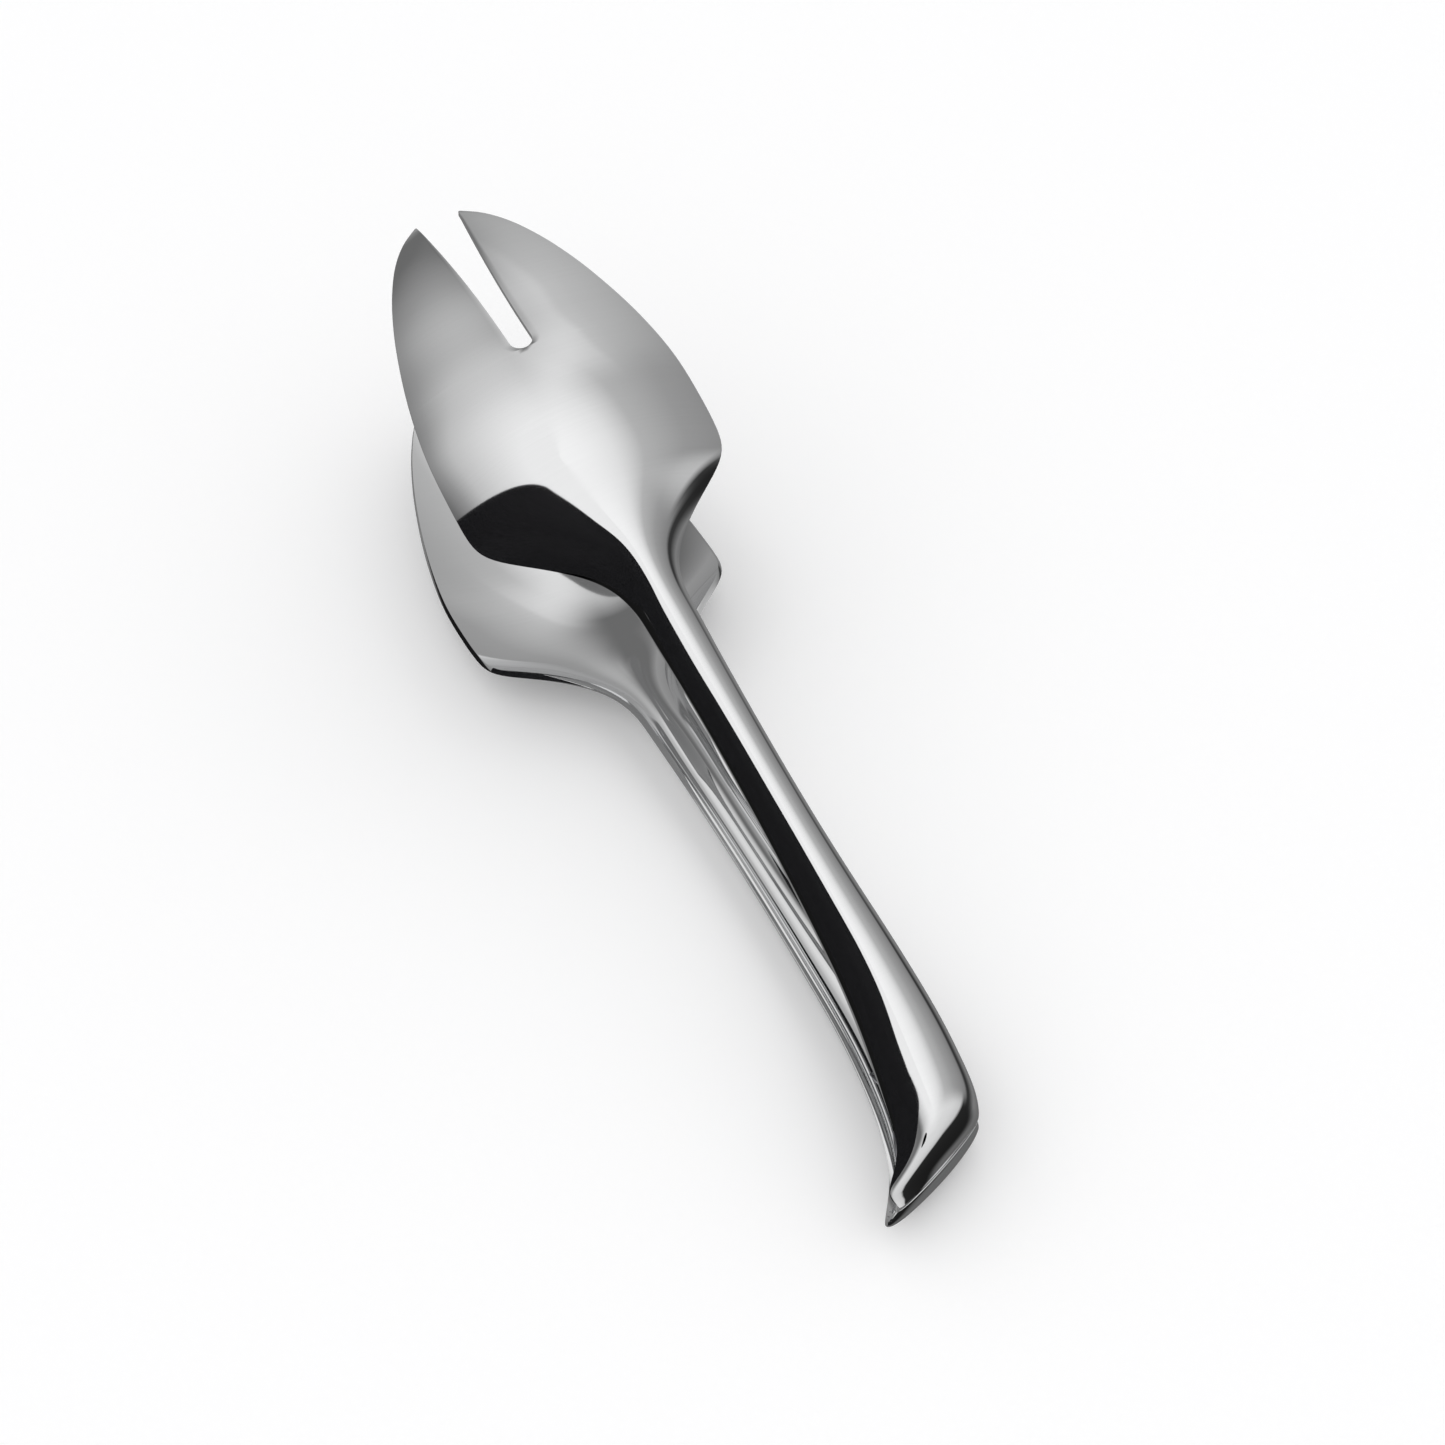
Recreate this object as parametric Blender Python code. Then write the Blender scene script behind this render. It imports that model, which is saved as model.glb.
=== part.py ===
"""Sprung serving tongs: a cleft fork arm above a spoon arm, hinged inside the heel.

Arms are laid out in a mid-plane frame (+Y from the heel to the bowls, +Z to the fork side), and that
frame is then tilted until the spoon bowl and the heel both rest on the ground at Z = 0.
"""

import math

import bmesh
import bpy
import numpy as np

MM = 0.001

# Sheet and clearances
SHEET = 1.2 * MM
HALF_GAP = 0.15 * MM

# Lying attitude of the mid-plane frame
LIE_ANGLE = math.radians(8.213)
LIE_SHIFT = (0.0, -120.68 * MM, 10.285 * MM)

# Hinge, in the mid-plane frame
PIVOT_Y = 15.0 * MM
PIVOT_X = -2.0 * MM

# Arm resolution
STEPS_ALONG = 2
STEPS_ACROSS = 16

# Cleft between the two tines, in mm like the stations
CLEFT_ROOT_Y = 196.0
CLEFT_ROOT_RADIUS = 2.55
CLEFT_MOUTH_Y = 239.0
CLEFT_MOUTH_HALF = 4.95
CLEFT_ROOT_STEPS = 4
ROW_CLEARANCE = 0.8
FINE_STEPS = 600
TINY = 1e-6

# Stations of the arm in mm: place along Y, middle, half width, rim height, arch height, arch power
STATIONS = (
    (20.0, -1.7, 8.9, 6.6, 6.0, 1.00),
    (28.0, -0.7, 8.5, 7.9, 6.2, 1.00),
    (37.0, -0.1, 7.65, 9.2, 6.2, 1.00),
    (48.0, 0.2, 6.9, 10.9, 5.9, 1.00),
    (60.0, 0.1, 6.2, 12.6, 5.5, 1.00),
    (76.0, 0.0, 5.5, 14.8, 5.1, 1.00),
    (90.0, 0.0, 5.25, 16.4, 4.9, 1.00),
    (105.0, 0.0, 5.2, 18.2, 4.8, 1.00),
    (118.0, 0.0, 5.4, 19.4, 4.9, 1.00),
    (128.0, 0.0, 5.7, 20.4, 5.2, 1.05),
    (136.0, 0.0, 6.1, 21.1, 5.8, 1.15),
    (141.0, 0.0, 7.5, 21.4, 6.6, 1.30),
    (146.0, 0.0, 10.7, 21.6, 7.6, 1.50),
    (150.0, 0.0, 14.9, 21.8, 8.3, 1.70),
    (153.5, 0.0, 19.3, 22.0, 8.8, 1.85),
    (157.0, 0.0, 24.2, 22.4, 9.2, 1.95),
    (160.0, 0.0, 27.8, 23.0, 9.4, 2.00),
    (163.0, 0.0, 29.1, 23.8, 9.45, 2.00),
    (167.0, 0.0, 29.5, 24.9, 9.4, 2.00),
    (174.0, 0.0, 29.6, 26.5, 9.0, 2.00),
    (184.0, 0.0, 29.2, 28.3, 7.9, 2.00),
    (195.0, 0.0, 27.5, 29.3, 6.4, 2.00),
    (207.0, 0.0, 24.5, 29.8, 4.7, 2.00),
    (218.0, 0.0, 20.8, 30.0, 3.3, 2.00),
    (227.0, 0.0, 16.7, 29.9, 2.2, 2.00),
    (234.0, 0.0, 12.2, 29.7, 1.3, 2.00),
    (237.5, 0.0, 8.6, 29.6, 0.85, 2.00),
    (239.6, 0.0, 5.4, 29.5, 0.5, 2.00),
)

# Heel rows in mm from the seam up to the first station: left rim, crown and right rim,
# then the left and right arch power
FORK_HEEL = (
    (-17.3, 1.2, 0.15, -5.6, 4.8, 0.15, 5.4, 10.5, 0.15, 1.0, 1.0),
    (-18.0, 3.3, 0.8, -5.6, 4.9, 3.0, 5.6, 10.7, 1.0, 1.2, 1.0),
    (-17.6, 4.9, 1.9, -5.4, 5.3, 5.8, 5.8, 11.1, 2.1, 1.6, 1.0),
    (-16.2, 6.4, 3.1, -5.0, 6.3, 8.1, 6.1, 11.8, 3.3, 2.1, 1.0),
    (-14.4, 7.9, 4.3, -4.4, 7.9, 10.0, 6.4, 12.8, 4.5, 2.4, 1.0),
    (-12.7, 9.8, 5.3, -3.7, 10.2, 11.3, 6.7, 14.2, 5.4, 2.4, 1.0),
    (-11.6, 12.4, 6.1, -2.9, 13.0, 12.1, 7.0, 15.9, 6.0, 2.1, 1.0),
    (-10.9, 15.8, 6.7, -2.2, 16.4, 12.5, 7.1, 17.8, 6.4, 1.6, 1.0),
)
SPOON_HEEL = (
    (-18.3, 0.7, 0.15, -5.7, 4.5, 0.15, 5.4, 10.45, 0.15, 1.0, 1.0),
    (-20.2, -0.2, 1.5, -5.9, 4.1, 3.0, 5.6, 10.4, 1.6, 0.9, 1.0),
    (-20.9, 0.0, 3.0, -5.8, 4.1, 5.8, 5.9, 10.7, 3.1, 0.85, 1.0),
    (-20.3, 1.5, 4.6, -5.4, 5.0, 8.3, 6.2, 11.4, 4.4, 0.85, 1.0),
    (-18.3, 4.2, 5.9, -4.8, 6.8, 10.3, 6.5, 12.5, 5.4, 0.9, 1.0),
    (-15.6, 7.5, 6.7, -4.0, 9.4, 11.5, 6.8, 14.0, 6.0, 1.0, 1.0),
    (-13.0, 11.4, 6.9, -3.1, 12.6, 12.2, 7.0, 15.8, 6.3, 1.0, 1.0),
    (-11.5, 15.4, 6.9, -2.3, 16.2, 12.55, 7.1, 17.8, 6.5, 1.0, 1.0),
)

# Hinge hardware
PIN_RADIUS = 1.5 * MM
PIN_REACH = 5.4 * MM
PIN_HEAD_RADIUS = 2.5 * MM
PIN_FACE_RADIUS = 2.0 * MM
PIN_HEAD_THICK = 0.8 * MM
BORE_RADIUS = 1.8 * MM
CHEEK_RADIUS = 3.3 * MM
CHEEK_THICK = 1.0 * MM
FORK_CHEEK_X = 3.4 * MM
SPOON_CHEEK_X = 2.1 * MM
WEB_NEAR = -0.8 * MM
WEB_FAR = 6.0 * MM
WEB_OUTER = 9.7 * MM
WEB_THICK = 1.0 * MM
WASHER_THICK = 0.5 * MM
WASHER_RADIUS = 2.9 * MM
FIT_GAP = 0.3 * MM

# Torsion spring
COIL_RADIUS = 2.6 * MM
WIRE_RADIUS = 0.4 * MM
COIL_TURNS = 1.5
COIL_PITCH = 1.05 * MM
LEG_REACH = 24.0 * MM
LEG_SLOPE = math.radians(24.0)
SECTION_SIDES = 6
COIL_STEPS_PER_TURN = 16

# Roundness of turned pieces and of the cheeks' ends
ROUND_STEPS = 24
CHEEK_STEPS = 16


def clear_scene():
    for obj in list(bpy.data.objects):
        bpy.data.objects.remove(obj, do_unlink=True)


def steel(name, colour, roughness):
    material = bpy.data.materials.new(name)
    material.use_nodes = True
    shader = material.node_tree.nodes["Principled BSDF"]
    shader.inputs["Base Color"].default_value = (*colour, 1.0)
    shader.inputs["Metallic"].default_value = 1.0
    shader.inputs["Roughness"].default_value = roughness
    return material


def add_mesh(name, points, faces, material, parent):
    mesh = bpy.data.meshes.new(name)
    mesh.from_pydata([tuple(p) for p in points], [], faces)
    mesh.materials.append(material)
    obj = bpy.data.objects.new(name, mesh)
    bpy.context.scene.collection.objects.link(obj)
    obj.parent = parent
    return obj


def add_bmesh(name, bm, material, parent):
    mesh = bpy.data.meshes.new(name)
    bm.to_mesh(mesh)
    bm.free()
    mesh.materials.append(material)
    obj = bpy.data.objects.new(name, mesh)
    bpy.context.scene.collection.objects.link(obj)
    obj.parent = parent
    return obj


def add_frame(name, parent, location, tilt):
    frame = bpy.data.objects.new(name, None)
    bpy.context.scene.collection.objects.link(frame)
    frame.parent = parent
    frame.location = location
    frame.rotation_euler = (tilt, 0.0, 0.0)
    return frame


def hermite(knots, values, at):
    """Smooth curve through the values at the knots, with slopes weighted for uneven spacing."""
    v = np.asarray(values, float)
    span = np.diff(knots)[:, None]
    rate = np.diff(v, axis=0) / span
    inner = (rate[:-1] * span[1:] + rate[1:] * span[:-1]) / (span[:-1] + span[1:])
    slope = np.vstack([rate[:1], inner, rate[-1:]])
    i = np.clip(np.searchsorted(knots, at, side="right") - 1, 0, len(span) - 1)
    h = span[i]
    t = (at - knots[i])[:, None] / h
    start = v[i] * (1 + 2 * t) * (1 - t) ** 2 + slope[i] * h * t * (1 - t) ** 2
    return start + v[i + 1] * t**2 * (3 - 2 * t) + slope[i + 1] * h * t**2 * (t - 1)


def guides(side):
    """Rows of left rim, crown, right rim and both arch powers of an arm: side 1 fork, -1 spoon."""
    stations = [list(row) for row in (FORK_HEEL if side > 0 else SPOON_HEEL)]
    for y, mid, half, rim, arch, power in STATIONS:
        stations.append([mid - half, y, rim, mid, y, rim + arch, mid + half, y, rim, power, power])
    return np.array(stations)


def row_knots(stations, cleft):
    """Position of each row of the arm's grid along its crown, close together round the cleft's root."""
    crown = stations[:, 3:6]
    knots = np.concatenate([[0.0], np.cumsum(np.linalg.norm(np.diff(crown, axis=0), axis=1))])
    steps = np.arange((len(knots) - 1) * STEPS_ALONG + 1) / STEPS_ALONG
    places = np.interp(steps, np.arange(len(knots)), knots)
    if cleft:
        fine = np.linspace(knots[0], knots[-1], FINE_STEPS)
        crown_y = hermite(knots, stations, fine)[:, 4]
        turn = np.linspace(0.0, math.pi / 2, CLEFT_ROOT_STEPS + 1)
        root_y = CLEFT_ROOT_Y + CLEFT_ROOT_RADIUS * (1 - np.cos(turn))
        root = np.interp(root_y, crown_y, fine)
        clear = (places < root[0] - ROW_CLEARANCE) | (places > root[-1] + ROW_CLEARANCE)
        places = np.sort(np.concatenate([places[clear], root]))
    return knots, places


def cleft_half(y):
    """Half width of the cleft at a distance from the heel: a round root, then a flare to the mouth."""
    depth = y - CLEFT_ROOT_Y
    if depth <= TINY:
        return 0.0
    if depth < CLEFT_ROOT_RADIUS:
        return math.sqrt(depth * (2 * CLEFT_ROOT_RADIUS - depth))
    along = (depth - CLEFT_ROOT_RADIUS) / (CLEFT_MOUTH_Y - CLEFT_ROOT_Y - CLEFT_ROOT_RADIUS)
    return CLEFT_ROOT_RADIUS + along**2 * (CLEFT_MOUTH_HALF - CLEFT_ROOT_RADIUS)


def arm_skin(side, cleft):
    """Points and faces of an arm's outer skin; the middle column splits in two where the cleft runs."""
    stations = guides(side)
    knots, places = row_knots(stations, cleft)
    points = []
    faces = []
    before = None
    for row in hermite(knots, stations, places):
        lo, top, hi, powers = row[0:3], row[3:6], row[6:9], row[9:11]
        reach = (hi - lo) / 2
        gap = cleft_half(top[1]) / reach[0] if cleft else 0.0
        halves = []
        for sign, power in zip((-1.0, 1.0), powers):
            turn = np.linspace(math.pi / 2, math.asin(gap), STEPS_ACROSS // 2 + 1) * sign
            rise = np.clip(np.cos(turn), 0.0, 1.0) ** power
            half = (lo + hi) / 2 + np.outer(np.sin(turn), reach) + np.outer(rise, top - (lo + hi) / 2)
            first = len(points)
            shared = sign > 0 and gap == 0.0
            points.extend(half[:-1] if shared else half)
            index = list(range(first, len(points)))
            halves.append(index + [halves[0][-1]] if shared else index)
        if before:
            for old, new, sign in zip(before, halves, (-1, 1)):
                for k in range(STEPS_ACROSS // 2):
                    quad = (old[k], old[k + 1], new[k + 1], new[k])
                    faces.append(quad[:: -sign * side])
        before = halves
    skin = np.array(points) * MM
    skin[:, 2] *= side
    return skin, faces


def build_arm(name, side, material, parent):
    points, faces = arm_skin(side, side > 0)
    arm = add_mesh(name, points, faces, material, parent)
    shell = arm.modifiers.new("sheet", "SOLIDIFY")
    shell.thickness = SHEET
    shell.offset = -1.0
    shell.use_even_offset = True
    level_seam(arm, side)
    return arm


def level_seam(arm, side):
    """Applies the thickness and keeps the whole arm on its own side of the heel's seam."""
    solid = bpy.data.meshes.new_from_object(arm.evaluated_get(bpy.context.evaluated_depsgraph_get()))
    for vertex in solid.vertices:
        vertex.co.z = side * max(side * vertex.co.z, HALF_GAP)
    arm.modifiers.clear()
    arm.data = solid


def turned(name, profile, material, parent):
    """Solid turned about X from (x, radius) points; a profile that closes on itself has a bore."""
    bored = profile[0] == profile[-1]
    bm = bmesh.new()
    rings = []
    for x, radius in profile[:-1] if bored else profile:
        ring = []
        for k in range(ROUND_STEPS):
            a = 2 * math.pi * k / ROUND_STEPS
            ring.append(bm.verts.new((x, radius * math.cos(a), radius * math.sin(a))))
        rings.append(ring)
    for i in range(len(profile) - 1):
        a, b = rings[i], rings[(i + 1) % len(rings)]
        for k in range(ROUND_STEPS):
            j = (k + 1) % ROUND_STEPS
            bm.faces.new((a[k], a[j], b[j], b[k]))
    if not bored:
        bm.faces.new(rings[0][::-1])
        bm.faces.new(rings[-1])
    bmesh.ops.recalc_face_normals(bm, faces=bm.faces)
    return add_bmesh(name, bm, material, parent)


def build_pin(material, parent):
    end = PIN_REACH
    profile = (
        (-end - PIN_HEAD_THICK, PIN_FACE_RADIUS),
        (-end - PIN_HEAD_THICK / 2, PIN_HEAD_RADIUS),
        (-end, PIN_HEAD_RADIUS),
        (-end, PIN_RADIUS),
        (end, PIN_RADIUS),
        (end, PIN_HEAD_RADIUS),
        (end + PIN_HEAD_THICK / 2, PIN_HEAD_RADIUS),
        (end + PIN_HEAD_THICK, PIN_FACE_RADIUS),
    )
    return turned("hinge_pin", profile, material, parent)


def build_washer(name, x, material, parent):
    half = WASHER_THICK / 2
    profile = (
        (x - half, BORE_RADIUS),
        (x + half, BORE_RADIUS),
        (x + half, WASHER_RADIUS),
        (x - half, WASHER_RADIUS),
        (x - half, BORE_RADIUS),
    )
    return turned(name, profile, material, parent)


def cheek_outline(side):
    """Cheek plate in the Y-Z plane round the pin, running out to the web on the given side."""
    outline = []
    for k in range(CHEEK_STEPS + 1):
        a = math.pi + math.pi * k / CHEEK_STEPS
        outline.append((CHEEK_RADIUS * math.cos(a), side * CHEEK_RADIUS * math.sin(a)))
    outline.append((WEB_FAR, side * WEB_OUTER))
    outline.append((WEB_NEAR, side * WEB_OUTER))
    return outline


def build_bracket(name, side, cheek_x, material, parent):
    """Two bored cheeks and the web that joins them, as one bent plate."""
    bm = bmesh.new()
    outline = cheek_outline(side)
    inner = cheek_x - CHEEK_THICK / 2
    outer = cheek_x + CHEEK_THICK / 2
    web_under = side * (WEB_OUTER - WEB_THICK)
    add_prism(bm, outline, -outer, -inner)
    add_prism(bm, outline, inner, outer)
    web = [
        (WEB_NEAR, web_under),
        (WEB_FAR, web_under),
        (WEB_FAR, side * WEB_OUTER),
        (WEB_NEAR, side * WEB_OUTER),
    ]
    bracket = add_bmesh(name, bm, material, parent)
    web_bm = bmesh.new()
    add_prism(web_bm, web, -cheek_x, cheek_x)
    join_with(bracket, add_bmesh(name + "_web", web_bm, material, parent), "UNION")
    bore = turned(name + "_bore", ((-outer * 2, BORE_RADIUS), (outer * 2, BORE_RADIUS)), material, parent)
    join_with(bracket, bore, "DIFFERENCE")
    return bracket


def add_prism(bm, outline, x0, x1):
    low = [bm.verts.new((x0, y, z)) for y, z in outline]
    high = [bm.verts.new((x1, y, z)) for y, z in outline]
    n = len(outline)
    faces = [bm.faces.new(low[::-1]), bm.faces.new(high)]
    for i in range(n):
        j = (i + 1) % n
        faces.append(bm.faces.new((low[i], low[j], high[j], high[i])))
    bmesh.ops.recalc_face_normals(bm, faces=faces)


def join_with(target, helper, operation):
    helper.hide_render = True
    helper.display_type = "WIRE"
    boolean = target.modifiers.new(helper.name, "BOOLEAN")
    boolean.operation = operation
    boolean.solver = "EXACT"
    boolean.object = helper


def spring_path():
    """Centre line of the spring wire: fork leg, coil round the pin, spoon leg."""
    half_width = COIL_TURNS * COIL_PITCH / 2
    start = math.pi / 2 + LEG_SLOPE
    sweep = 2 * math.pi * COIL_TURNS - 2 * LEG_SLOPE
    steps = round(COIL_STEPS_PER_TURN * COIL_TURNS)
    coil = []
    for k in range(steps + 1):
        t = k / steps
        a = start + sweep * t
        x = -half_width + 2 * half_width * t
        coil.append((x, COIL_RADIUS * math.cos(a), COIL_RADIUS * math.sin(a)))
    along = LEG_REACH * math.cos(LEG_SLOPE)
    rise = LEG_REACH * math.sin(LEG_SLOPE)
    first, last = coil[0], coil[-1]
    tip_a = (first[0], first[1] + along, first[2] + rise)
    tip_b = (last[0], last[1] + along, last[2] - rise)
    return np.array([tip_a, *coil, tip_b])


def build_spring(material, parent):
    path = spring_path()
    ahead = np.gradient(path, axis=0)
    ahead /= np.linalg.norm(ahead, axis=1)[:, None]
    across = np.tile((1.0, 0.0, 0.0), (len(path), 1))
    across -= ahead * (across * ahead).sum(axis=1)[:, None]
    across /= np.linalg.norm(across, axis=1)[:, None]
    other = np.cross(ahead, across)
    points = []
    for centre, u, v in zip(path, across, other):
        for k in range(SECTION_SIDES):
            a = 2 * math.pi * k / SECTION_SIDES
            points.append(centre + WIRE_RADIUS * (math.cos(a) * u + math.sin(a) * v))
    faces = []
    for i in range(len(path) - 1):
        for k in range(SECTION_SIDES):
            j = (k + 1) % SECTION_SIDES
            row, after = i * SECTION_SIDES, (i + 1) * SECTION_SIDES
            faces.append((row + k, row + j, after + j, after + k))
    faces.append(tuple(range(SECTION_SIDES))[::-1])
    last = (len(path) - 1) * SECTION_SIDES
    faces.append(tuple(range(last, last + SECTION_SIDES)))
    return add_mesh("torsion_spring", points, faces, material, parent)


def main():
    clear_scene()
    polished = steel("polished_steel", (0.80, 0.80, 0.81), 0.05)
    plain = steel("plain_steel", (0.55, 0.55, 0.56), 0.30)
    spring_steel = steel("spring_steel", (0.45, 0.45, 0.47), 0.25)
    lying = add_frame("lying_frame", None, LIE_SHIFT, LIE_ANGLE)
    pivot = add_frame("pivot_frame", lying, (PIVOT_X, PIVOT_Y, 0.0), 0.0)
    build_arm("fork_arm", 1, polished, lying)
    build_arm("spoon_arm", -1, polished, lying)
    build_bracket("fork_hinge_bracket", 1, FORK_CHEEK_X, plain, pivot)
    build_bracket("spoon_hinge_bracket", -1, SPOON_CHEEK_X, plain, pivot)
    build_pin(plain, pivot)
    washer_x = PIN_REACH - FIT_GAP - WASHER_THICK / 2
    build_washer("pin_washer_left", -washer_x, plain, pivot)
    build_washer("pin_washer_right", washer_x, plain, pivot)
    build_spring(spring_steel, pivot)


main()
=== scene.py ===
"""Looks of the fork-and-spoon serving tongs: mirror-polished arms, the hinge in the heel, studio and camera.

The arms are laid out in a mid-plane frame in mm (+Y from the heel to the bowls, +Z to the fork side), which
is tilted until the spoon bowl and the heel rest on the floor.
"""

import math

import bmesh
import bpy
import numpy as np
from mathutils import Matrix, Vector


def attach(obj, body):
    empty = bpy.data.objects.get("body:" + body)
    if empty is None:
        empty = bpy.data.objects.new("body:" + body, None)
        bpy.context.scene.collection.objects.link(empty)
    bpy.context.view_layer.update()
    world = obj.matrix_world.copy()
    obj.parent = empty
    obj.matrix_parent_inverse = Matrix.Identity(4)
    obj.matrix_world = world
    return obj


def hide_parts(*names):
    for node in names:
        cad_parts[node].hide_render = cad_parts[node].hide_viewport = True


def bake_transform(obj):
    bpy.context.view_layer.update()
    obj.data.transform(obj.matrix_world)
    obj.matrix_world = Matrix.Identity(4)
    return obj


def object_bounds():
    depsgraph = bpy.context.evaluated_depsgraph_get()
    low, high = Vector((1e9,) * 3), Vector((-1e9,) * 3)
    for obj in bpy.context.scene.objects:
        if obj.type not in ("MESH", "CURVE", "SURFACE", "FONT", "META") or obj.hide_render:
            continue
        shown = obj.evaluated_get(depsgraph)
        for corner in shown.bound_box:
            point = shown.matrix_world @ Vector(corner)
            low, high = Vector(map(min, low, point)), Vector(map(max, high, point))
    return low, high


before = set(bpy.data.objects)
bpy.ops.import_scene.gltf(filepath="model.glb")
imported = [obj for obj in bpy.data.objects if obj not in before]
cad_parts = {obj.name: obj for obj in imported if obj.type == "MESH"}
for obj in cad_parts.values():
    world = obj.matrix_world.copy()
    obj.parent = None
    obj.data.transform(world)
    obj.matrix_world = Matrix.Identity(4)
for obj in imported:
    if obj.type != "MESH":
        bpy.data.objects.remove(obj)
CAD_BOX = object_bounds()

MM = 0.001
SHEET = 1.2 * MM
HALF_GAP = 0.15 * MM
LYING = Matrix.Translation((0.0, -120.68 * MM, 10.285 * MM)) @ Matrix.Rotation(math.radians(8.213), 4, "X")
PIVOT = (-2.0, 15.0, 0.0)

# Arm stations in mm: distance from the heel, middle, half width, rim height, arch height, arch power
STATIONS = (
    (20.0, -1.7, 8.9, 6.6, 6.0, 1.00),
    (28.0, -0.7, 8.5, 7.9, 6.2, 1.00),
    (37.0, -0.1, 7.65, 9.2, 6.2, 1.00),
    (48.0, 0.2, 6.9, 10.9, 5.9, 1.00),
    (60.0, 0.1, 6.2, 12.6, 5.5, 1.00),
    (76.0, 0.0, 5.5, 14.8, 5.1, 1.00),
    (90.0, 0.0, 5.25, 16.4, 4.9, 1.00),
    (105.0, 0.0, 5.2, 18.2, 4.8, 1.00),
    (118.0, 0.0, 5.4, 19.4, 4.9, 1.00),
    (128.0, 0.0, 5.7, 20.4, 5.2, 1.05),
    (136.0, 0.0, 6.1, 21.1, 5.8, 1.15),
    (141.0, 0.0, 7.5, 21.4, 6.6, 1.30),
    (146.0, 0.0, 10.7, 21.6, 7.6, 1.50),
    (150.0, 0.0, 14.9, 21.8, 8.3, 1.70),
    (153.5, 0.0, 19.3, 22.0, 8.8, 1.85),
    (157.0, 0.0, 24.2, 22.4, 9.2, 1.95),
    (160.0, 0.0, 27.8, 23.0, 9.4, 2.00),
    (163.0, 0.0, 29.1, 23.8, 9.45, 2.00),
    (167.0, 0.0, 29.5, 24.9, 9.4, 2.00),
    (174.0, 0.0, 29.6, 26.5, 9.0, 2.00),
    (184.0, 0.0, 29.2, 28.3, 7.9, 2.00),
    (195.0, 0.0, 27.5, 29.3, 6.4, 2.00),
    (207.0, 0.0, 24.5, 29.8, 4.7, 2.00),
    (218.0, 0.0, 20.8, 30.0, 3.3, 2.00),
    (227.0, 0.0, 16.7, 29.9, 2.2, 2.00),
    (234.0, 0.0, 12.2, 29.7, 1.3, 2.00),
    (237.5, 0.0, 8.6, 29.6, 0.85, 2.00),
    (239.6, 0.0, 5.4, 29.5, 0.5, 2.00),
)
# Heel rows in mm from the seam up to the first station: left rim, crown and right rim,
# then the left and right arch power
FORK_HEEL = (
    (-17.3, 1.2, 0.15, -5.6, 4.8, 0.15, 5.4, 10.5, 0.15, 1.0, 1.0),
    (-18.0, 3.3, 0.8, -5.6, 4.9, 3.0, 5.6, 10.7, 1.0, 1.2, 1.0),
    (-17.6, 4.9, 1.9, -5.4, 5.3, 5.8, 5.8, 11.1, 2.1, 1.6, 1.0),
    (-16.2, 6.4, 3.1, -5.0, 6.3, 8.1, 6.1, 11.8, 3.3, 2.1, 1.0),
    (-14.4, 7.9, 4.3, -4.4, 7.9, 10.0, 6.4, 12.8, 4.5, 2.4, 1.0),
    (-12.7, 9.8, 5.3, -3.7, 10.2, 11.3, 6.7, 14.2, 5.4, 2.4, 1.0),
    (-11.6, 12.4, 6.1, -2.9, 13.0, 12.1, 7.0, 15.9, 6.0, 2.1, 1.0),
    (-10.9, 15.8, 6.7, -2.2, 16.4, 12.5, 7.1, 17.8, 6.4, 1.6, 1.0),
)
SPOON_HEEL = (
    (-18.3, 0.7, 0.15, -5.7, 4.5, 0.15, 5.4, 10.45, 0.15, 1.0, 1.0),
    (-20.2, -0.2, 1.5, -5.9, 4.1, 3.0, 5.6, 10.4, 1.6, 0.9, 1.0),
    (-20.9, 0.0, 3.0, -5.8, 4.1, 5.8, 5.9, 10.7, 3.1, 0.85, 1.0),
    (-20.3, 1.5, 4.6, -5.4, 5.0, 8.3, 6.2, 11.4, 4.4, 0.85, 1.0),
    (-18.3, 4.2, 5.9, -4.8, 6.8, 10.3, 6.5, 12.5, 5.4, 0.9, 1.0),
    (-15.6, 7.5, 6.7, -4.0, 9.4, 11.5, 6.8, 14.0, 6.0, 1.0, 1.0),
    (-13.0, 11.4, 6.9, -3.1, 12.6, 12.2, 7.0, 15.8, 6.3, 1.0, 1.0),
    (-11.5, 15.4, 6.9, -2.3, 16.2, 12.55, 7.1, 17.8, 6.5, 1.0, 1.0),
)

# Cleft between the tines, in mm
CLEFT_ROOT_Y = 196.0
CLEFT_ROOT_RADIUS = 2.55
CLEFT_MOUTH_Y = 239.0
CLEFT_MOUTH_HALF = 4.95
CLEFT_ROOT_STEPS = 8
ROW_CLEARANCE = 0.5
TINY = 1e-6

# Mesh density
ROW_SPACING = 1.1
FINE_STEPS = 1200
COLUMNS = 44
FAIR_SPAN = 1.8
HANDLE_FAIR_SPAN = 6.0
HANDLE_END = 105.0
NECK_START = 135.0
END_EASE = 4.0
LEAST_FAIR_SPAN = 0.05
EDGE_ROUND = 0.35 * MM
EDGE_SEGMENTS = 3
EDGE_ANGLE = 50.0

# Hinge hardware in mm, round the pivot
PIN_RADIUS = 1.5
PIN_REACH = 5.4
PIN_HEAD = 2.5
PIN_FACE = 1.9
PIN_HEAD_HIGH = 0.75
PIN_HEAD_RIM = 0.15
PIN_HEAD_RISE = 0.03
HEAD_STEPS = 6
BORE_RADIUS = 1.8
CHEEK_RADIUS = 3.3
CHEEK_THICK = 1.0
FORK_CHEEK_X = 3.4
SPOON_CHEEK_X = 2.1
WEB_NEAR = -0.8
WEB_FAR = 6.0
WEB_OUTER = 9.7
WASHER_THICK = 0.5
WASHER_RADIUS = 2.9
WASHER_EDGE = 0.08
FIT_GAP = 0.3
PLATE_EDGE = 0.12
PLATE_EDGE_SEGMENTS = 2
TURN_STEPS = 48
CHEEK_STEPS = 28
SHARP_ANGLE = 35.0
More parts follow.
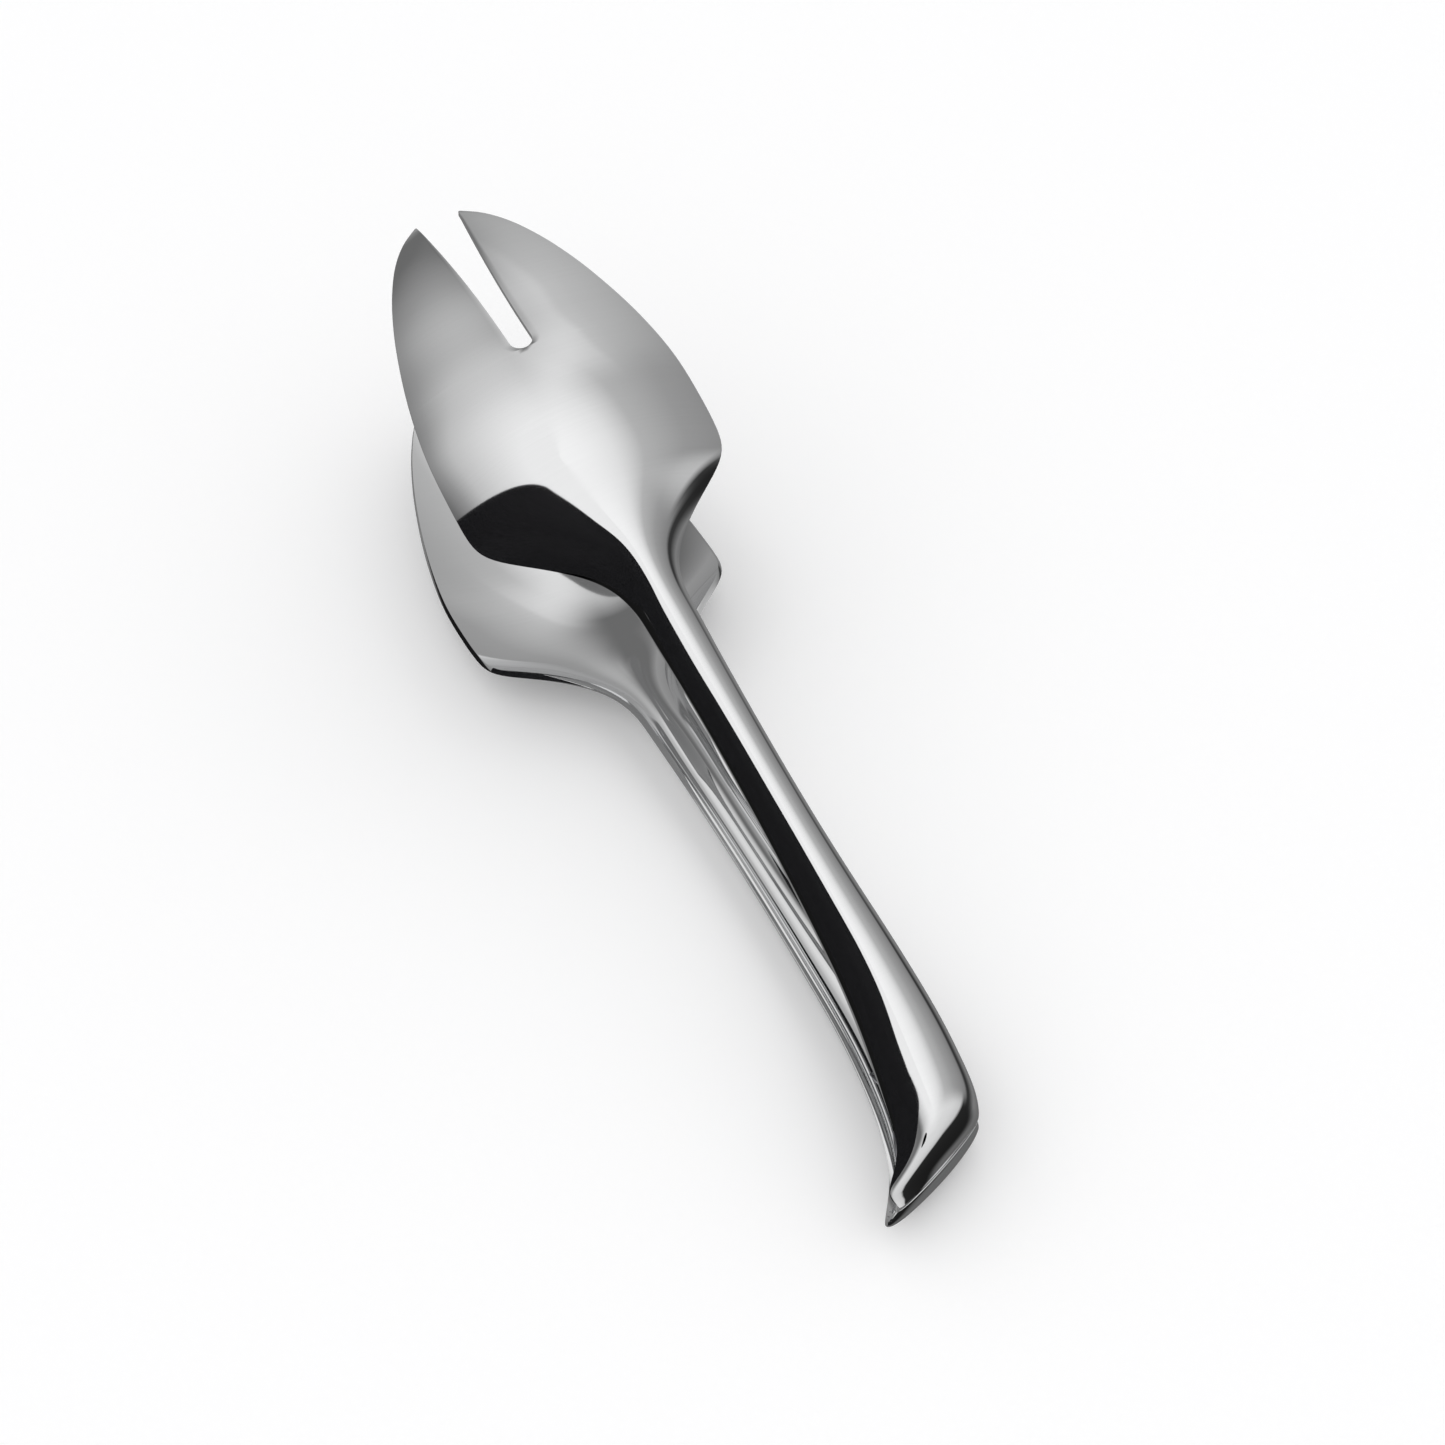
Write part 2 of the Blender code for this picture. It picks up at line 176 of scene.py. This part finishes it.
COIL_RADIUS = 2.6
WIRE_RADIUS = 0.4
COIL_TURNS = 1.5
COIL_PITCH = 1.05
LEG_REACH = 24.0
LEG_SLOPE = 24.0
LEG_STEPS = 24
COIL_STEPS = 40
WIRE_SIDES = 12

# Steel finish
SMUDGE_SCALE = 45.0
TONE_LOW = 0.985
NOISE_LOW = 0.3
NOISE_HIGH = 0.7


def hermite(knots, values, at):
    """Smooth curve through the values at the knots, with slopes weighted for uneven spacing."""
    v = np.asarray(values, float)
    span = np.diff(knots)[:, None]
    rate = np.diff(v, axis=0) / span
    inner = (rate[:-1] * span[1:] + rate[1:] * span[:-1]) / (span[:-1] + span[1:])
    slope = np.vstack([rate[:1], inner, rate[-1:]])
    i = np.clip(np.searchsorted(knots, at, side="right") - 1, 0, len(span) - 1)
    h = span[i]
    t = (at - knots[i])[:, None] / h
    start = v[i] * (1 + 2 * t) * (1 - t) ** 2 + slope[i] * h * t * (1 - t) ** 2
    return start + v[i + 1] * t**2 * (3 - 2 * t) + slope[i + 1] * h * t**2 * (t - 1)


def guides(side):
    stations = [list(row) for row in (FORK_HEEL if side > 0 else SPOON_HEEL)]
    for y, mid, half, rim, arch, power in STATIONS:
        stations.append([mid - half, y, rim, mid, y, rim + arch, mid + half, y, rim, power, power])
    return np.array(stations)


def faired(knots, stations):
    """Guide curves sampled finely along the crown and averaged over a few mm, for smooth reflections."""
    fine = np.linspace(knots[0], knots[-1], FINE_STEPS)
    values = hermite(knots, stations, fine)
    to_end = np.minimum(fine - fine[0], fine[-1] - fine)
    wide = np.interp(values[:, 4], (HANDLE_END, NECK_START), (HANDLE_FAIR_SPAN, FAIR_SPAN))
    span = np.clip(to_end / END_EASE, LEAST_FAIR_SPAN, wide)
    weight = np.exp(-0.5 * ((fine[:, None] - fine[None, :]) / span[:, None]) ** 2)
    weight /= weight.sum(axis=1)[:, None]
    return fine, weight @ values


def at_places(fine, values, places):
    return np.stack([np.interp(places, fine, column) for column in values.T], axis=1)


def row_places(fine, values, cleft):
    count = round((fine[-1] - fine[0]) / ROW_SPACING)
    places = np.linspace(fine[0], fine[-1], count + 1)
    if not cleft:
        return places
    turn = np.linspace(0.0, math.pi / 2, CLEFT_ROOT_STEPS + 1)
    root_y = CLEFT_ROOT_Y + CLEFT_ROOT_RADIUS * (1 - np.cos(turn))
    root = np.interp(root_y, values[:, 4], fine)
    clear = (places < root[0] - ROW_CLEARANCE) | (places > root[-1] + ROW_CLEARANCE)
    return np.sort(np.concatenate([places[clear], root]))


def cleft_half(y):
    depth = y - CLEFT_ROOT_Y
    if depth <= TINY:
        return 0.0
    if depth < CLEFT_ROOT_RADIUS:
        return math.sqrt(depth * (2 * CLEFT_ROOT_RADIUS - depth))
    along = (depth - CLEFT_ROOT_RADIUS) / (CLEFT_MOUTH_Y - CLEFT_ROOT_Y - CLEFT_ROOT_RADIUS)
    return CLEFT_ROOT_RADIUS + along**2 * (CLEFT_MOUTH_HALF - CLEFT_ROOT_RADIUS)


def arm_skin(side):
    """Points and faces of an arm's outer skin; the middle column splits in two where the cleft runs."""
    cleft = side > 0
    stations = guides(side)
    crown = stations[:, 3:6]
    knots = np.concatenate([[0.0], np.cumsum(np.linalg.norm(np.diff(crown, axis=0), axis=1))])
    fine, values = faired(knots, stations)
    places = row_places(fine, values, cleft)
    half_columns = COLUMNS // 2
    points = []
    faces = []
    before = None
    for row in at_places(fine, values, places):
        lo, top, hi, powers = row[0:3], row[3:6], row[6:9], row[9:11]
        middle = (lo + hi) / 2
        reach = (hi - lo) / 2
        gap = cleft_half(top[1]) / reach[0] if cleft else 0.0
        halves = []
        for sign, power in zip((-1.0, 1.0), powers):
            turn = np.linspace(math.pi / 2, math.asin(gap), half_columns + 1) * sign
            rise = np.clip(np.cos(turn), 0.0, 1.0) ** power
            half = middle + np.outer(np.sin(turn), reach) + np.outer(rise, top - middle)
            first = len(points)
            shared = sign > 0 and gap == 0.0
            points.extend(half[:-1] if shared else half)
            index = list(range(first, len(points)))
            halves.append(index + [halves[0][-1]] if shared else index)
        if before:
            for old, new, sign in zip(before, halves, (-1, 1)):
                for k in range(half_columns):
                    quad = (old[k], old[k + 1], new[k + 1], new[k])
                    faces.append(quad[:: -sign * side])
        before = halves
    skin = np.array(points) * MM
    skin[:, 2] *= side
    return skin, faces


def add_object(name, mesh, material):
    mesh.materials.clear()
    mesh.materials.append(material)
    obj = bpy.data.objects.new(name, mesh)
    bpy.context.scene.collection.objects.link(obj)
    return obj


def applied(obj):
    """The object's mesh with its modifiers applied."""
    graph = bpy.context.evaluated_depsgraph_get()
    mesh = bpy.data.meshes.new_from_object(obj.evaluated_get(graph))
    obj.modifiers.clear()
    obj.data = mesh
    return mesh


def build_arm(name, side, node, body, material):
    points, faces = arm_skin(side)
    mesh = bpy.data.meshes.new(name)
    mesh.from_pydata([tuple(p) for p in points], [], faces)
    arm = add_object(name, mesh, material)
    shell = arm.modifiers.new("sheet", "SOLIDIFY")
    shell.thickness = SHEET
    shell.offset = -1.0
    shell.use_even_offset = True
    mesh = applied(arm)
    for vertex in mesh.vertices:
        vertex.co.z = side * max(side * vertex.co.z, HALF_GAP)
    edges = arm.modifiers.new("rounded_rim", "BEVEL")
    edges.width = EDGE_ROUND
    edges.segments = EDGE_SEGMENTS
    edges.limit_method = "ANGLE"
    edges.angle_limit = math.radians(EDGE_ANGLE)
    edges.use_clamp_overlap = True
    mesh = applied(arm)
    mesh.transform(LYING)
    mesh.shade_smooth()
    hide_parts(node)
    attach(arm, body)


class Graph:
    """Short calls for wiring shader nodes."""

    def __init__(self, tree):
        self.tree = tree

    def add(self, kind, **settings):
        node = self.tree.nodes.new(kind)
        for key, value in settings.items():
            setattr(node, key, value)
        return node

    def link(self, source, target):
        self.tree.links.new(source, target)

    def math(self, operation, *values):
        node = self.add("ShaderNodeMath", operation=operation)
        for socket, value in zip(node.inputs, values):
            if isinstance(value, (int, float)):
                socket.default_value = value
            else:
                self.link(value, socket)
        return node.outputs[0]

    def step(self, value, low, high):
        """0 below low, 1 above high, smooth between; low may be above high for a falling step."""
        node = self.add("ShaderNodeMapRange", interpolation_type="SMOOTHSTEP")
        self.link(value, node.inputs["Value"])
        node.inputs["From Min"].default_value = min(low, high)
        node.inputs["From Max"].default_value = max(low, high)
        node.inputs["To Min"].default_value = 0.0 if low < high else 1.0
        node.inputs["To Max"].default_value = 1.0 if low < high else 0.0
        return node.outputs["Result"]

    def noise(self, vector, scale, detail):
        node = self.add("ShaderNodeTexNoise")
        self.link(vector, node.inputs["Vector"])
        node.inputs["Scale"].default_value = scale
        node.inputs["Detail"].default_value = detail
        return node.outputs["Fac"]

    def between(self, value, low, high):
        """Noise spread over the range from low to high."""
        node = self.add("ShaderNodeMapRange")
        self.link(value, node.inputs["Value"])
        node.inputs["From Min"].default_value = NOISE_LOW
        node.inputs["From Max"].default_value = NOISE_HIGH
        node.inputs["To Min"].default_value = low
        node.inputs["To Max"].default_value = high
        return node.outputs["Result"]


def steel(name, colour, roughness, rough_change, streak, relief):
    """Steel with fine lines along one direction that tint it and give it a small relief, and faint smudges
    in its roughness.
    """
    material = bpy.data.materials.new(name)
    material.use_nodes = True
    tree = material.node_tree
    shader = tree.nodes["Principled BSDF"]
    shader.inputs["Metallic"].default_value = 1.0
    g = Graph(tree)
    coords = g.add("ShaderNodeTexCoord")
    lined = g.add("ShaderNodeMapping")
    g.link(coords.outputs["Object"], lined.inputs["Vector"])
    lined.inputs["Scale"].default_value = streak
    lines = g.noise(lined.outputs[0], 1.0, 3.0)
    smudge = g.noise(coords.outputs["Object"], SMUDGE_SCALE, 4.0)
    g.link(g.between(smudge, roughness - rough_change, roughness + rough_change), shader.inputs["Roughness"])
    tone = g.add("ShaderNodeMix", data_type="RGBA")
    g.link(g.between(lines, 0.0, 1.0), tone.inputs["Factor"])
    tone.inputs["A"].default_value = (*(c * TONE_LOW for c in colour), 1.0)
    tone.inputs["B"].default_value = (*colour, 1.0)
    g.link(tone.outputs["Result"], shader.inputs["Base Color"])
    bump = g.add("ShaderNodeBump")
    bump.inputs["Strength"].default_value = 1.0
    bump.inputs["Distance"].default_value = relief
    g.link(lines, bump.inputs["Height"])
    g.link(bump.outputs[0], shader.inputs["Normal"])
    return material


def to_place(mesh):
    """Moves a mesh made in mm round the pivot to its place in the lying tongs."""
    mesh.transform(LYING @ Matrix.Scale(MM, 4) @ Matrix.Translation(PIVOT))
    mesh.shade_smooth()
    mesh.set_sharp_from_angle(angle=math.radians(SHARP_ANGLE))


def finish_piece(name, bm, node, body, material):
    mesh = bpy.data.meshes.new(name)
    bmesh.ops.recalc_face_normals(bm, faces=bm.faces)
    bm.to_mesh(mesh)
    bm.free()
    to_place(mesh)
    piece = add_object(name, mesh, material)
    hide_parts(node)
    if body:
        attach(piece, body)
    return piece


def lathe(profile):
    """Solid turned about X from (x, radius) points; a profile that closes on itself has a bore."""
    bored = profile[0] == profile[-1]
    bm = bmesh.new()
    rings = []
    for x, radius in profile[:-1] if bored else profile:
        ring = []
        for k in range(TURN_STEPS):
            a = 2 * math.pi * k / TURN_STEPS
            ring.append(bm.verts.new((x, radius * math.cos(a), radius * math.sin(a))))
        rings.append(ring)
    for i in range(len(profile) - 1):
        one, two = rings[i], rings[(i + 1) % len(rings)]
        for k in range(TURN_STEPS):
            j = (k + 1) % TURN_STEPS
            bm.faces.new((one[k], one[j], two[j], two[k]))
    if not bored:
        bm.faces.new(rings[0][::-1])
        bm.faces.new(rings[-1])
    return bm


def domed_head(end, sign):
    """Profile of a riveted head from its flat underside at end out to its crown."""
    points = [(sign * end, PIN_HEAD - PIN_HEAD_RIM), (sign * (end + PIN_HEAD_RIM), PIN_HEAD)]
    for k in range(1, HEAD_STEPS + 1):
        a = math.pi / 2 * k / HEAD_STEPS
        reach = PIN_HEAD - (PIN_HEAD - PIN_FACE) * (1 - math.cos(a))
        height = PIN_HEAD_RIM + (PIN_HEAD_HIGH - PIN_HEAD_RIM) * math.sin(a)
        points.append((sign * (end + height), reach))
    points.append((sign * (end + PIN_HEAD_HIGH + PIN_HEAD_RISE), PIN_FACE / 2))
    return points


def pin_profile():
    left = domed_head(PIN_REACH, -1.0)
    right = domed_head(PIN_REACH, 1.0)
    shaft = [(-PIN_REACH, PIN_RADIUS), (PIN_REACH, PIN_RADIUS)]
    return left[::-1] + shaft + right


def washer_profile(x):
    half = WASHER_THICK / 2
    inner = (x - half, BORE_RADIUS)
    return [
        inner,
        (x + half, BORE_RADIUS),
        (x + half, WASHER_RADIUS - WASHER_EDGE),
        (x + half - WASHER_EDGE, WASHER_RADIUS),
        (x - half + WASHER_EDGE, WASHER_RADIUS),
        (x - half, WASHER_RADIUS - WASHER_EDGE),
        inner,
    ]


def cheek_loop(side, radius):
    """Cheek's outline in the Y-Z plane, turning from one foot round the pin to the other foot."""
    loop = [(WEB_NEAR, side * WEB_OUTER)]
    for k in range(CHEEK_STEPS + 1):
        a = math.pi + math.pi * k / CHEEK_STEPS
        loop.append((radius * math.cos(a), side * radius * math.sin(a)))
    loop.append((WEB_FAR, side * WEB_OUTER))
    return loop


def build_bracket(name, side, cheek_x, node, body, material):
    """Bent plate: two bored cheeks and the web between them, with its edges broken."""
    bm = bmesh.new()
    inner = cheek_x - CHEEK_THICK / 2
    outer = cheek_x + CHEEK_THICK / 2
    for x0, x1 in ((-outer, -inner), (inner, outer)):
        prism(bm, cheek_loop(side, CHEEK_RADIUS), x0, x1)
    plate = add_object(name, mesh_of(name, bm), material)
    web = bmesh.new()
    under = side * (WEB_OUTER - CHEEK_THICK)
    top = side * WEB_OUTER
    prism(web, [(WEB_NEAR, under), (WEB_FAR, under), (WEB_FAR, top), (WEB_NEAR, top)], -cheek_x, cheek_x)
    bore = lathe([(-2 * outer, BORE_RADIUS), (2 * outer, BORE_RADIUS)])
    for helper, operation in ((web, "UNION"), (bore, "DIFFERENCE")):
        tool = add_object(name + "_tool", mesh_of(name + "_tool", helper), material)
        boolean = plate.modifiers.new("cut", "BOOLEAN")
        boolean.operation = operation
        boolean.object = tool
        applied(plate)
        bpy.data.objects.remove(tool, do_unlink=True)
    edges = plate.modifiers.new("broken_edges", "BEVEL")
    edges.width = PLATE_EDGE
    edges.segments = PLATE_EDGE_SEGMENTS
    edges.limit_method = "ANGLE"
    edges.angle_limit = math.radians(SHARP_ANGLE)
    to_place(applied(plate))
    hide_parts(node)
    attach(plate, body)


def mesh_of(name, bm):
    bmesh.ops.recalc_face_normals(bm, faces=bm.faces)
    mesh = bpy.data.meshes.new(name)
    bm.to_mesh(mesh)
    bm.free()
    return mesh


def prism(bm, loop, x0, x1):
    low = [bm.verts.new((x0, y, z)) for y, z in loop]
    high = [bm.verts.new((x1, y, z)) for y, z in loop]
    bm.faces.new(low[::-1])
    bm.faces.new(high)
    for i in range(len(loop)):
        j = (i + 1) % len(loop)
        bm.faces.new((low[i], low[j], high[j], high[i]))


def spring_path():
    """Centre line of the wire: fork leg, coil round the pin and spoon leg, both legs straight."""
    half_width = COIL_TURNS * COIL_PITCH / 2
    slope = math.radians(LEG_SLOPE)
    start = math.pi / 2 + slope
    sweep = 2 * math.pi * COIL_TURNS - 2 * slope
    steps = round(COIL_STEPS * COIL_TURNS)
    coil = []
    for k in range(steps + 1):
        t = k / steps
        a = start + sweep * t
        coil.append((half_width * (2 * t - 1), COIL_RADIUS * math.cos(a), COIL_RADIUS * math.sin(a)))
    first, last = coil[0], coil[-1]
    legs = np.linspace(LEG_REACH, 0.0, LEG_STEPS, endpoint=False)
    fork_leg = [(first[0], first[1] + r * math.cos(slope), first[2] + r * math.sin(slope)) for r in legs]
    spoon_leg = [(last[0], last[1] + r * math.cos(slope), last[2] - r * math.sin(slope)) for r in legs[::-1]]
    return np.array([*fork_leg, *coil, *spoon_leg])


def build_spring(material):
    path = spring_path()
    ahead = np.gradient(path, axis=0)
    ahead /= np.linalg.norm(ahead, axis=1)[:, None]
    across = np.tile((1.0, 0.0, 0.0), (len(path), 1))
    across -= ahead * (across * ahead).sum(axis=1)[:, None]
    across /= np.linalg.norm(across, axis=1)[:, None]
    other = np.cross(ahead, across)
    bm = bmesh.new()
    rings = []
    for centre, u, v in zip(path, across, other):
        turns = [2 * math.pi * k / WIRE_SIDES for k in range(WIRE_SIDES)]
        rims = [WIRE_RADIUS * (math.cos(a) * u + math.sin(a) * v) for a in turns]
        rings.append([bm.verts.new(centre + rim) for rim in rims])
    for one, two in zip(rings, rings[1:]):
        for k in range(WIRE_SIDES):
            j = (k + 1) % WIRE_SIDES
            bm.faces.new((one[k], one[j], two[j], two[k]))
    bm.faces.new(rings[0][::-1])
    bm.faces.new(rings[-1])
    spring = finish_piece("hinge_spring", bm, "torsion_spring", None, material)
    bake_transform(spring)


def build_hinge():
    satin = steel("satin_steel", (0.60, 0.60, 0.62), 0.30, 0.05, (400.0, 400.0, 4000.0), 0.000002)
    wire = steel("spring_wire", (0.46, 0.46, 0.48), 0.22, 0.04, (3000.0, 200.0, 200.0), 0.000001)
    build_bracket("fork_bracket_plate", 1, FORK_CHEEK_X, "fork_hinge_bracket", "fork_side", satin)
    build_bracket("spoon_bracket_plate", -1, SPOON_CHEEK_X, "spoon_hinge_bracket", "spoon_side", satin)
    finish_piece("riveted_pin", lathe(pin_profile()), "hinge_pin", "spoon_side", satin)
    x = PIN_REACH - FIT_GAP - WASHER_THICK / 2
    left = lathe(washer_profile(-x))
    right = lathe(washer_profile(x))
    finish_piece("washer_left", left, "pin_washer_left", "spoon_side", satin)
    finish_piece("washer_right", right, "pin_washer_right", "spoon_side", satin)
    build_spring(wire)


# Tent round the tongs as (sine of the elevation, brightness), for the four ways it is seen in the steel
WEST = (
    (-1.0, 0.17),
    (0.1, 0.28),
    (0.42, 0.32),
    (0.6, 0.16),
    (0.69, 0.16),
    (0.75, 0.33),
    (0.81, 0.58),
    (0.92, 0.82),
    (0.97, 0.94),
)
NORTH_EAST = (
    (-1.0, 0.17),
    (-0.1, 0.3),
    (0.26, 0.36),
    (0.57, 0.54),
    (0.63, 0.6),
    (0.66, 0.72),
    (0.82, 0.95),
    (1.0, 1.05),
)
EAST = (
    (-1.0, 0.12),
    (-0.45, 0.22),
    (-0.16, 0.04),
    (-0.06, 0.04),
    (0.06, 0.24),
    (0.5, 0.35),
    (0.77, 0.5),
    (0.9, 0.84),
    (1.0, 1.02),
)
SOUTH = (
    (-1.0, 0.01),
    (0.1, 0.02),
    (0.22, 0.62),
    (0.5, 0.74),
    (0.7, 0.78),
    (0.85, 0.86),
    (0.95, 0.98),
    (1.0, 1.02),
)
EAST_AZIMUTH = 95.0

# Where one side of the tent turns into the next
EAST_FROM = 0.1
EAST_TO = 0.62
NORTH_FROM = 0.3
NORTH_TO = 0.6
SOUTH_FROM = -0.1
SOUTH_TO = -0.45

# Dark shade low on the left as azimuth, nearness, strength and softness, and the heights it fades between
SHADE_AZIMUTH = -100.0
SHADE_FROM = 0.35
SHADE_STRENGTH = 0.96
SHADE_SOFTNESS = 0.15
SHADE_TOP = 0.06
SHADE_FULL = -0.02

# Dark spot of the lens as (azimuth, elevation, radius) in degrees
LENS = (-128.0, 46.5, 6.0)
LENS_SOFTNESS = 0.0004

# Light on the floor and what the camera sees
DIFFUSE_LIGHT = 1.15
SEEN_BACKDROP = 0.97
FLOOR_GLOW = 0.13
FLOOR_HALF = 6.0
FLOOR_DROP = 0.2 * MM


def direction(azimuth, elevation):
    a = math.radians(azimuth)
    e = math.radians(elevation)
    return Vector((math.sin(a) * math.cos(e), math.cos(a) * math.cos(e), math.sin(e)))


def brightness(g, height, stops):
    ramp = g.add("ShaderNodeValToRGB")
    ramp.color_ramp.interpolation = "LINEAR"
    elements = ramp.color_ramp.elements
    while len(elements) < len(stops):
        elements.new(0.5)
    for element, (place, bright) in zip(elements, stops):
        element.position = (place + 1) / 2
        element.color = (bright, bright, bright, 1.0)
    g.link(height, ramp.inputs[0])
    return ramp.outputs[0]


def mixed(g, share, low, high):
    return g.math("ADD", low, g.math("MULTIPLY", share, g.math("SUBTRACT", high, low)))


def along(g, axes, towards):
    parts = [g.math("MULTIPLY", axis, part) for axis, part in zip(axes, towards)]
    return g.math("ADD", g.math("ADD", parts[0], parts[1]), parts[2])


def build_world():
    """Soft tent seen in the steel; plain white to the camera and even light on the floor."""
    world = bpy.data.worlds.new("studio")
    bpy.context.scene.world = world
    world.use_nodes = True
    tree = world.node_tree
    g = Graph(tree)
    coords = g.add("ShaderNodeTexCoord")
    split = g.add("ShaderNodeSeparateXYZ")
    g.link(coords.outputs["Generated"], split.inputs[0])
    axes = list(split.outputs)
    height = g.math("MULTIPLY_ADD", axes[2], 0.5, 0.5)
    flat = g.math("SQRT", g.math("SUBTRACT", 1.0001, g.math("MULTIPLY", axes[2], axes[2])))
    eastward = g.math("DIVIDE", along(g, axes, direction(EAST_AZIMUTH, 0.0)), flat)
    to_right = g.step(eastward, EAST_FROM, EAST_TO)
    to_north = g.step(axes[1], NORTH_FROM, NORTH_TO)
    right = mixed(g, to_north, brightness(g, height, EAST), brightness(g, height, NORTH_EAST))
    tent = mixed(g, to_right, brightness(g, height, WEST), right)
    to_south = g.step(axes[1], SOUTH_FROM, SOUTH_TO)
    tent = mixed(g, to_south, tent, brightness(g, height, SOUTH))
    leftward = along(g, axes, direction(SHADE_AZIMUTH, 0.0))
    beside = g.step(leftward, SHADE_FROM, SHADE_FROM + SHADE_SOFTNESS)
    shade = g.math("MULTIPLY", beside, g.step(axes[2], SHADE_TOP, SHADE_FULL))
    tent = g.math("MULTIPLY", tent, g.math("SUBTRACT", 1.0, g.math("MULTIPLY", shade, SHADE_STRENGTH)))
    edge = math.cos(math.radians(LENS[2]))
    lensward = along(g, axes, direction(LENS[0], LENS[1]))
    open_tent = g.step(lensward, edge + LENS_SOFTNESS, edge - LENS_SOFTNESS)
    tent = g.math("MULTIPLY", tent, open_tent)
    path = g.add("ShaderNodeLightPath")
    lit = mixed(g, path.outputs["Is Diffuse Ray"], tent, DIFFUSE_LIGHT)
    seen = mixed(g, path.outputs["Is Camera Ray"], lit, SEEN_BACKDROP)
    background = tree.nodes["Background"]
    background.inputs["Color"].default_value = (1.0, 1.0, 1.0, 1.0)
    g.link(seen, background.inputs["Strength"])


def build_floor():
    bm = bmesh.new()
    bmesh.ops.create_grid(bm, x_segments=1, y_segments=1, size=FLOOR_HALF)
    material = bpy.data.materials.new("floor_paper")
    material.use_nodes = True
    tree = material.node_tree
    shader = tree.nodes["Principled BSDF"]
    g = Graph(tree)
    coords = g.add("ShaderNodeTexCoord")
    fibre = g.noise(coords.outputs["Object"], 900.0, 3.0)
    g.link(g.between(fibre, 0.84, 0.92), shader.inputs["Roughness"])
    tone = g.add("ShaderNodeMix", data_type="RGBA")
    g.link(g.between(fibre, 0.0, 1.0), tone.inputs["Factor"])
    tone.inputs["A"].default_value = (0.895, 0.895, 0.9, 1.0)
    tone.inputs["B"].default_value = (0.915, 0.915, 0.92, 1.0)
    g.link(tone.outputs["Result"], shader.inputs["Base Color"])
    shader.inputs["Emission Color"].default_value = (1.0, 1.0, 1.0, 1.0)
    shader.inputs["Emission Strength"].default_value = FLOOR_GLOW
    floor = add_object("floor", mesh_of("floor", bm), material)
    floor.location.z = CAD_BOX[0][2] - FLOOR_DROP
    floor.visible_glossy = False


# Black card beside the handle: X and Z of its section from the floor up, its middle, half length and corners
CARD_SECTION = ((-0.12, 0.0), (-0.115, 0.08), (-0.10, 0.16), (-0.073, 0.225), (-0.034, 0.262))
CARD_MIDDLE = -0.027
CARD_HALF = 0.078
CARD_TWIST = 0.4
CARD_CORNER = 3.2
CARD_ROWS = 32


def build_card():
    """Seen only as the dark band that the left flank of the handle reflects."""
    rise = np.linspace(0.0, 1.0, CARD_ROWS + 1)
    section = np.array(CARD_SECTION)
    knots = np.linspace(0.0, 1.0, len(section))
    bm = bmesh.new()
    rows = []
    for t in rise:
        x = np.interp(t, knots, section[:, 0])
        z = np.interp(t, knots, section[:, 1])
        half = CARD_HALF * max(1 - t**CARD_CORNER, 0.0) ** (1 / CARD_CORNER) + 0.001
        lean = CARD_TWIST * half * t
        near = bm.verts.new((x + lean, CARD_MIDDLE - half, z))
        far = bm.verts.new((x - lean, CARD_MIDDLE + half, z))
        rows.append([near, far])
    for low, high in zip(rows, rows[1:]):
        bm.faces.new((low[0], high[0], high[1], low[1]))
    material = bpy.data.materials.new("black_cloth")
    material.use_nodes = True
    tree = material.node_tree
    shader = tree.nodes["Principled BSDF"]
    shader.inputs["Base Color"].default_value = (0.012, 0.012, 0.013, 1.0)
    shader.inputs["Roughness"].default_value = 1.0
    shader.inputs["Specular IOR Level"].default_value = 0.0
    g = Graph(tree)
    coords = g.add("ShaderNodeTexCoord")
    bump = g.add("ShaderNodeBump")
    bump.inputs["Strength"].default_value = 0.4
    bump.inputs["Distance"].default_value = 0.0002
    g.link(g.noise(coords.outputs["Object"], 800.0, 2.0), bump.inputs["Height"])
    g.link(bump.outputs[0], shader.inputs["Normal"])
    card = add_object("black_card", mesh_of("black_card", bm), material)
    card.visible_camera = False
    card.visible_diffuse = False
    card.visible_shadow = False


CAMERA_AZIMUTH = -27.815
CAMERA_ELEVATION = 59.017
CAMERA_DISTANCE = 0.8157
CAMERA_LENS = 97.52
CAMERA_TARGET = (3.644, 114.335, 0.0)


def build_camera():
    a = math.radians(CAMERA_AZIMUTH)
    e = math.radians(CAMERA_ELEVATION)
    back = Vector((math.sin(a) * math.cos(e), -math.cos(a) * math.cos(e), math.sin(e)))
    right = Vector((math.cos(a), math.sin(a), 0.0))
    up = back.cross(right)
    place = Vector(CAMERA_TARGET) * MM + back * CAMERA_DISTANCE
    turn = Matrix((right, up, back)).transposed().to_4x4()
    data = bpy.data.cameras.new("camera")
    data.lens = CAMERA_LENS
    data.sensor_width = 36.0
    data.clip_start = 0.01
    camera = bpy.data.objects.new("camera", data)
    camera.matrix_world = LYING @ Matrix.Translation(place) @ turn
    bpy.context.scene.collection.objects.link(camera)
    bpy.context.scene.camera = camera


def main():
    polished = steel("polished_steel", (0.87, 0.873, 0.878), 0.045, 0.012, (60.0, 2500.0, 60.0), 0.00000003)
    build_arm("fork_shell", 1, "fork_arm", "fork_side", polished)
    build_arm("spoon_shell", -1, "spoon_arm", "spoon_side", polished)
    build_hinge()
    build_world()
    build_floor()
    build_card()
    build_camera()
    bpy.context.scene.view_settings.view_transform = "Standard"


main()
